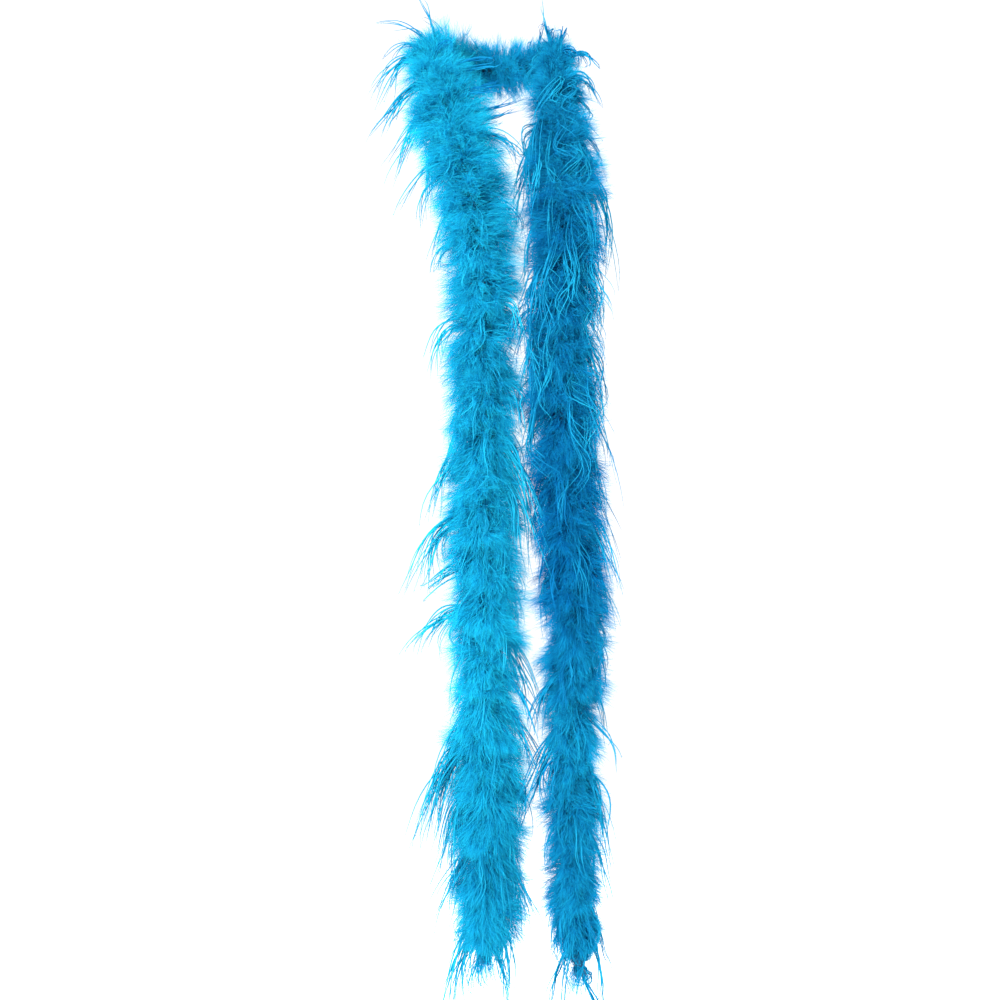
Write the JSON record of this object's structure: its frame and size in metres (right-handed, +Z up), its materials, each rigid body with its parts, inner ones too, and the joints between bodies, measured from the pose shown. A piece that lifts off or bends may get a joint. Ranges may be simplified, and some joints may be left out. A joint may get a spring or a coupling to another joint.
{
  "type": "feather boa",
  "caption": "Worn feather boa: a limp core cord bound all over with fluffy down and long drooping ostrich strands, looped round the neck with two free hanging tails.",
  "frame": {"origin": "on the nape, where the boa's loop rests on the back of the wearer's neck, at the core cord's height", "axes": "+Z up, the wearer faces -Y, and the tail at -X is the one at a facing viewer's left"},
  "size_m": [0.2833, 0.3075, 1.1128],
  "materials": {
    "cord": "matte",
    "thread": "matte",
    "marabou_down": "matte",
    "ostrich_barbs": "satin"
  },
  "bodies": {
    "neck": {"core_neck": "cord", "binding_neck": "thread", "marabou_nape": "marabou_down", "marabou_left_collar": "marabou_down", "marabou_left_chest": "marabou_down", "marabou_right_collar": "marabou_down", "marabou_right_chest": "marabou_down", "ostrich_left_collar": "ostrich_barbs", "ostrich_left_chest": "ostrich_barbs", "ostrich_right_collar": "ostrich_barbs", "ostrich_right_chest": "ostrich_barbs"},
    "left_link": {"core_left_link": "cord", "binding_left_link": "thread", "marabou_left_bust": "marabou_down"},
    "left_upper": {"core_left_upper": "cord", "binding_left_upper": "thread", "marabou_left_waist": "marabou_down", "marabou_left_hip": "marabou_down", "ostrich_left_upper": "ostrich_barbs"},
    "left_lower": {"core_left_lower": "cord", "binding_left_lower": "thread", "marabou_left_thigh": "marabou_down", "marabou_left_knee": "marabou_down", "ostrich_left_lower": "ostrich_barbs", "whipping_left": "thread", "knot_left": "cord", "tuft_left": "marabou_down"},
    "right_link": {"core_right_link": "cord", "binding_right_link": "thread", "marabou_right_bust": "marabou_down"},
    "right_upper": {"core_right_upper": "cord", "binding_right_upper": "thread", "marabou_right_waist": "marabou_down", "marabou_right_hip": "marabou_down", "ostrich_right_upper": "ostrich_barbs"},
    "right_lower": {"core_right_lower": "cord", "binding_right_lower": "thread", "marabou_right_thigh": "marabou_down", "marabou_right_knee": "marabou_down", "ostrich_right_lower": "ostrich_barbs", "whipping_right": "thread", "knot_right": "cord", "tuft_right": "marabou_down"}
  },
  "joints": [
    {"name": "left_side_swing", "type": "hinge", "parent": "neck", "child": "left_link", "pos_m": [-0.012, -0.191, -0.3045], "axis": [0, 1, 0], "range_deg": [-1, 40]},
    {"name": "left_front_swing", "type": "hinge", "parent": "left_link", "child": "left_upper", "pos_m": [-0.012, -0.1925, -0.385], "axis": [-1, 0, 0], "range_deg": [-5, 50]},
    {"name": "left_bend", "type": "hinge", "parent": "left_upper", "child": "left_lower", "pos_m": [-0.0095, -0.194, -0.705], "axis": [-1, 0, 0], "range_deg": [-20, 60]},
    {"name": "right_side_swing", "type": "hinge", "parent": "neck", "child": "right_link", "pos_m": [0.075, -0.205, -0.3045], "axis": [0, -1, 0], "range_deg": [-1, 40]},
    {"name": "right_front_swing", "type": "hinge", "parent": "right_link", "child": "right_upper", "pos_m": [0.074, -0.2065, -0.385], "axis": [-1, 0, 0], "range_deg": [-5, 50]},
    {"name": "right_bend", "type": "hinge", "parent": "right_upper", "child": "right_lower", "pos_m": [0.088, -0.206, -0.705], "axis": [-1, 0, 0], "range_deg": [-20, 60]}
  ]
}
